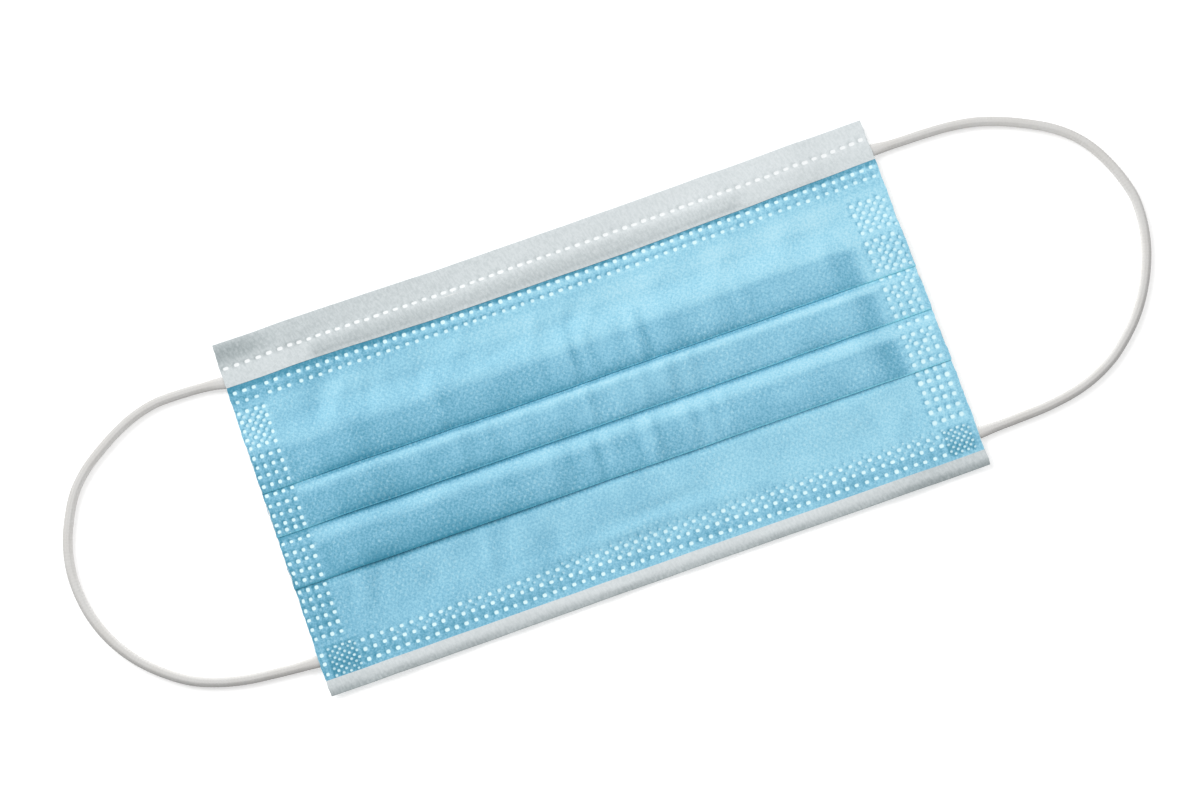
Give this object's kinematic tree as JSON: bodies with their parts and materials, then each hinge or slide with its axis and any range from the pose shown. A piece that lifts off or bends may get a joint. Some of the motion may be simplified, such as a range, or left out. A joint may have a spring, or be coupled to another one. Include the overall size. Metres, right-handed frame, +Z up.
{
  "type": "three-ply face mask",
  "caption": "Flat-folded pleated face mask of layered nonwoven, with a nose wire in its white band and elastic ear loops, lying front side up.",
  "frame": {"origin": "middle of the mask's outline, on the surface that it lies on", "axes": "+X to the right end as the front is seen, +Y towards the nose edge, +Z up, out of the front"},
  "size_m": [0.2871, 0.095, 0.0054],
  "materials": {
    "blue_spunbond": "matt nonwoven, light blue",
    "filter_melt_blown": "matt nonwoven, white",
    "white_spunbond": "matt nonwoven, white",
    "wire_coating": "satin polyethylene",
    "knitted_elastic": "matt knit, off-white"
  },
  "bodies": {
    "root": {"outer_ply": "blue_spunbond", "filter_ply": "filter_melt_blown", "inner_ply": "white_spunbond", "nose_wire": "wire_coating", "ear_loop_left": "knitted_elastic", "ear_loop_right": "knitted_elastic"}
  },
  "joints": []
}
